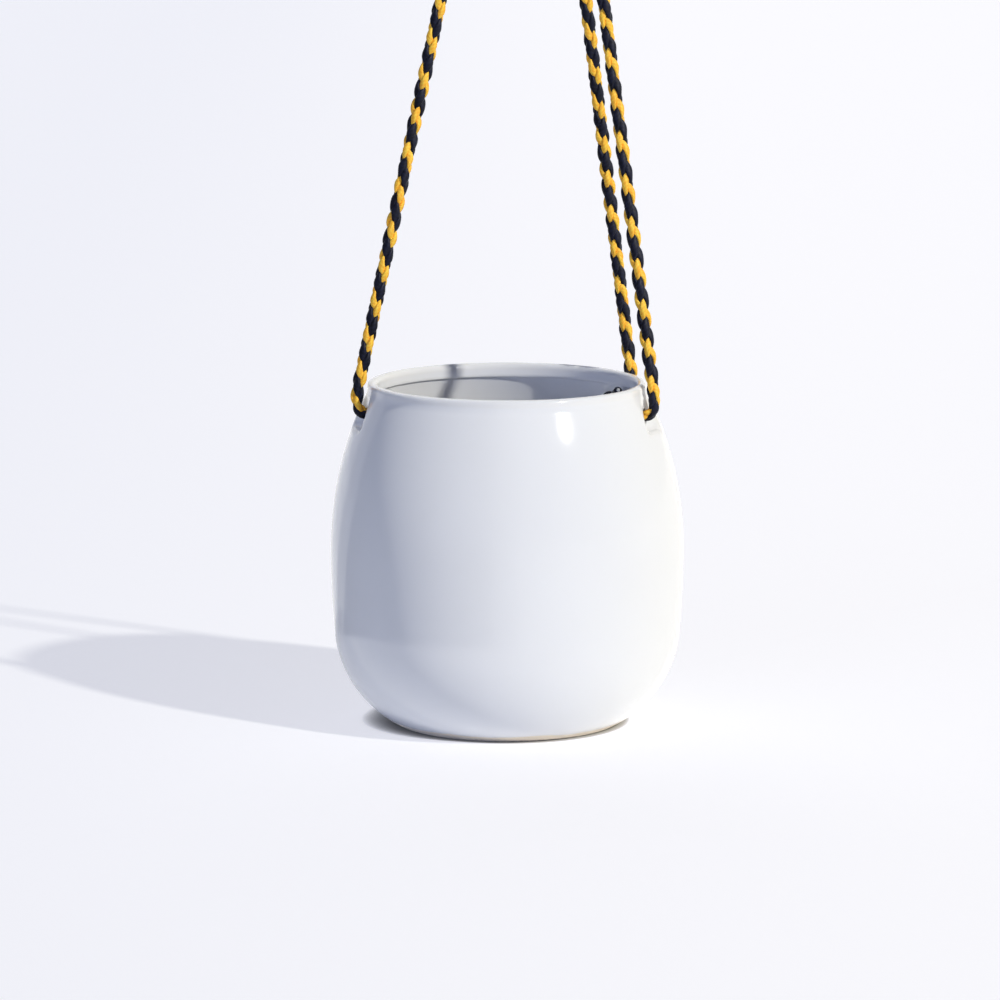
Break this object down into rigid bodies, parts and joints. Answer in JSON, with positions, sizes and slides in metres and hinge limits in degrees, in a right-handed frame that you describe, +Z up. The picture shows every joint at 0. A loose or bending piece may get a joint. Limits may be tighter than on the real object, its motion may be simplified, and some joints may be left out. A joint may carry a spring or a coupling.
{
  "type": "hanging planter",
  "caption": "Round-bellied glazed pot hung on braided cords that enter pockets under its lip and meet in a whipped gathering, a cord loop and a ring.",
  "frame": {"origin": "the point at the top inside of the ring, where a hook carries the planter", "axes": "+Z up; +X from the single cord's side towards the pair of cords, in the plane of the ring; +Y across the ring, the way a hook's arm passes through it"},
  "size_m": [0.126, 0.126, 0.4847],
  "materials": {
    "glaze": "bright white gloss glaze over pale clay, bare at the foot",
    "braid": "round braid of two yellow and two navy satin cords",
    "knot": "navy satin cord, pulled tight, with a sealed end",
    "whipping": "thin navy waxed cord, wound close",
    "ring": "nickel plated steel wire, welded"
  },
  "bodies": {
    "ring": {"hanging_ring": "ring"},
    "planter": {"pot": "glaze", "cord_left": "braid", "cord_front_right": "braid", "cord_rear_right": "braid", "knot_left": "knot", "knot_front_right": "knot", "knot_rear_right": "knot", "gathering_wrap": "whipping"}
  },
  "joints": [
    {"name": "swing", "type": "hinge", "parent": "ring", "child": "planter", "pos_m": [0, 0, -0.0265], "axis": [1, 0, 0], "range_deg": [-45, 45]}
  ]
}
